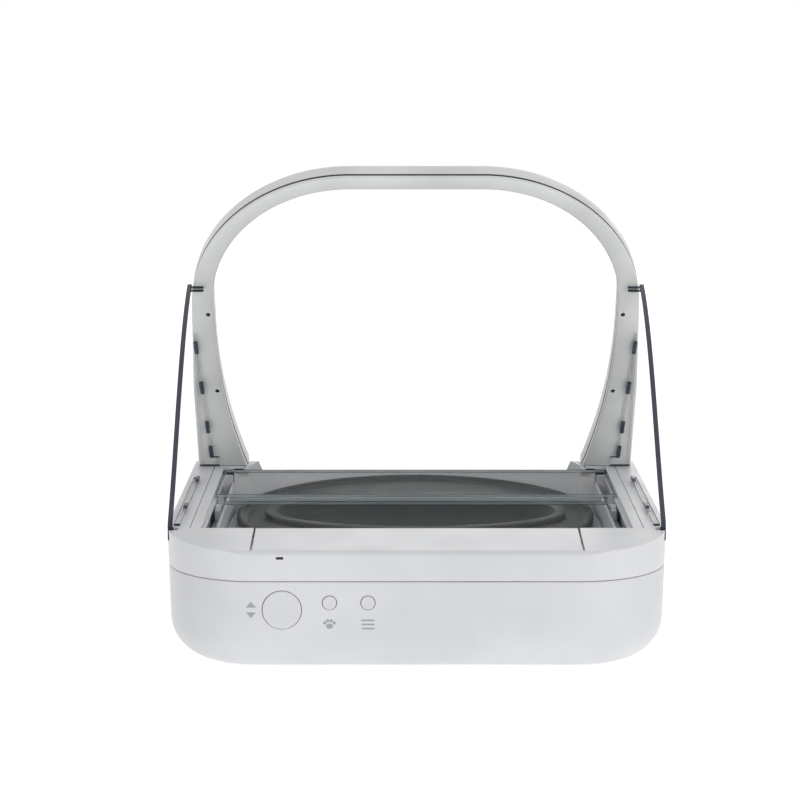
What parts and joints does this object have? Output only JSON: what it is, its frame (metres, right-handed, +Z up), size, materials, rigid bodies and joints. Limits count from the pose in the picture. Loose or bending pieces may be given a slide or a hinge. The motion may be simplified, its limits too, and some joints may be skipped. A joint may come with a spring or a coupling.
{
  "type": "microchip pet feeder",
  "caption": "Free-standing pet feeder: rounded white base with bowl and mat under a two-leaf sliding clear lid, a leaning reader arch, clear side panels and push buttons.",
  "frame": {"origin": "middle of the footprint, on the surface the rubber feet stand on", "axes": "+Z up; +Y towards the side where the animal eats; the push buttons are on the -Y face; +X is on the right of someone facing the buttons"},
  "size_m": [0.23, 0.3179, 0.2227],
  "materials": {
    "white_abs": "satin, white",
    "white_button": "satin, white",
    "arch_abs": "satin, white",
    "tray_abs": "fine matt, light grey",
    "clear_polycarbonate": "clear, polished",
    "mat_rubber": "matt, dark grey",
    "bowl_plastic": "satin, dark grey",
    "dark_window": "smoked, glossy",
    "acetal": "satin, off-white",
    "belt_rubber": "matt, grey",
    "steel": "plain, machined",
    "load_cell_aluminium": "milled",
    "gearbox_nylon": "matt, dark grey",
    "circuit_board": "green lacquer",
    "switch_black": "matt, black",
    "cell_jacket": "plain printed jacket, no lettering",
    "foot_rubber": "matt, grey",
    "enamelled_copper": "enamelled wire"
  },
  "bodies": {
    "housing": {"add_pet_switch": "switch_black", "antenna_coil": "enamelled_copper", "arch_front_shell": "arch_abs", "arch_rear_shell": "arch_abs", "battery_cell_left_1": "cell_jacket", "battery_cell_left_2": "cell_jacket", "battery_cell_right_1": "cell_jacket", "battery_cell_right_2": "cell_jacket", "battery_contact_left_front": "steel", "battery_contact_left_rear": "steel", "battery_contact_right_front": "steel", "battery_contact_right_rear": "steel", "battery_housing_left": "tray_abs", "battery_housing_right": "tray_abs", "bowl": "bowl_plastic", "bowl_mat": "mat_rubber", "casing_screw_1": "steel", "casing_screw_2": "steel", "casing_screw_3": "steel", "casing_screw_4": "steel", "drive_belt_left": "belt_rubber", "drive_belt_right": "belt_rubber", "function_switch": "switch_black", "gearbox": "gearbox_nylon", "inner_tray": "tray_abs", "lid_motor": "steel", "lid_rail_left": "white_abs", "lid_rail_right": "white_abs", "load_cell": "load_cell_aluminium", "lower_casing": "white_abs", "main_circuit_board": "circuit_board", "open_close_switch": "switch_black", "rear_deck_cover": "white_abs", "rubber_foot_front_left": "foot_rubber", "rubber_foot_front_right": "foot_rubber", "rubber_foot_rear_left": "foot_rubber", "rubber_foot_rear_right": "foot_rubber", "sensor_window_0": "dark_window", "sensor_window_1": "dark_window", "sensor_window_2": "dark_window", "sensor_window_3": "dark_window", "side_panel_left": "clear_polycarbonate", "side_panel_right": "clear_polycarbonate", "status_light_pipe": "dark_window", "upper_casing": "white_abs", "weigh_platform": "acetal"},
    "front_leaf": {"lid_front_leaf": "clear_polycarbonate", "lid_runner_left": "acetal", "lid_runner_right": "acetal"},
    "rear_leaf": {"lid_rear_leaf": "clear_polycarbonate"},
    "lid_drive": {"drive_shaft": "steel", "drive_pulley_left": "acetal", "drive_pulley_right": "acetal"},
    "left_idler": {"idler_pulley_left": "acetal"},
    "right_idler": {"idler_pulley_right": "acetal"},
    "open_close_key": {"open_close_button": "white_button"},
    "add_pet_key": {"add_pet_button": "white_button"},
    "function_key": {"function_button": "white_button"},
    "left_battery_door": {"battery_door_left": "white_abs"},
    "right_battery_door": {"battery_door_right": "white_abs"}
  },
  "joints": [
    {"name": "lid_front", "type": "slide", "parent": "housing", "child": "front_leaf", "axis": [0, -1, 0], "range_m": [0, 0.079]},
    {"name": "lid_rear", "type": "slide", "parent": "housing", "child": "rear_leaf", "axis": [0, -1, 0], "range_m": [0, 0.024]},
    {"name": "drive_turn", "type": "hinge", "parent": "housing", "child": "lid_drive", "pos_m": [0, -0.136, 0.0434], "axis": [1, 0, 0], "range_deg": [0, 795]},
    {"name": "left_idler_turn", "type": "hinge", "parent": "housing", "child": "left_idler", "pos_m": [-0.0972, -0.002, 0.0434], "axis": [1, 0, 0], "range_deg": [0, 795]},
    {"name": "right_idler_turn", "type": "hinge", "parent": "housing", "child": "right_idler", "pos_m": [0.0972, -0.002, 0.0434], "axis": [1, 0, 0], "range_deg": [0, 795]},
    {"name": "open_close_press", "type": "slide", "parent": "housing", "child": "open_close_key", "axis": [0, 1, 0], "range_m": [0, 0.0005], "stiffness_N_per_m": 900},
    {"name": "add_pet_press", "type": "slide", "parent": "housing", "child": "add_pet_key", "axis": [0, 1, 0], "range_m": [0, 0.0005], "stiffness_N_per_m": 700},
    {"name": "function_press", "type": "slide", "parent": "housing", "child": "function_key", "axis": [0, 1, 0], "range_m": [0, 0.0005], "stiffness_N_per_m": 700},
    {"name": "left_battery_door_slide", "type": "slide", "parent": "housing", "child": "left_battery_door", "axis": [0, -1, 0], "range_m": [0, 0.0057]},
    {"name": "right_battery_door_slide", "type": "slide", "parent": "housing", "child": "right_battery_door", "axis": [0, -1, 0], "range_m": [0, 0.0057]}
  ],
  "couplings": [
    {"joint": "lid_rear", "follows": "lid_front", "ratio": 0.3037},
    {"joint": "drive_turn", "follows": "lid_front", "rad_per_m": 175.44},
    {"joint": "left_idler_turn", "follows": "lid_front", "rad_per_m": 175.44},
    {"joint": "right_idler_turn", "follows": "lid_front", "rad_per_m": 175.44}
  ]
}
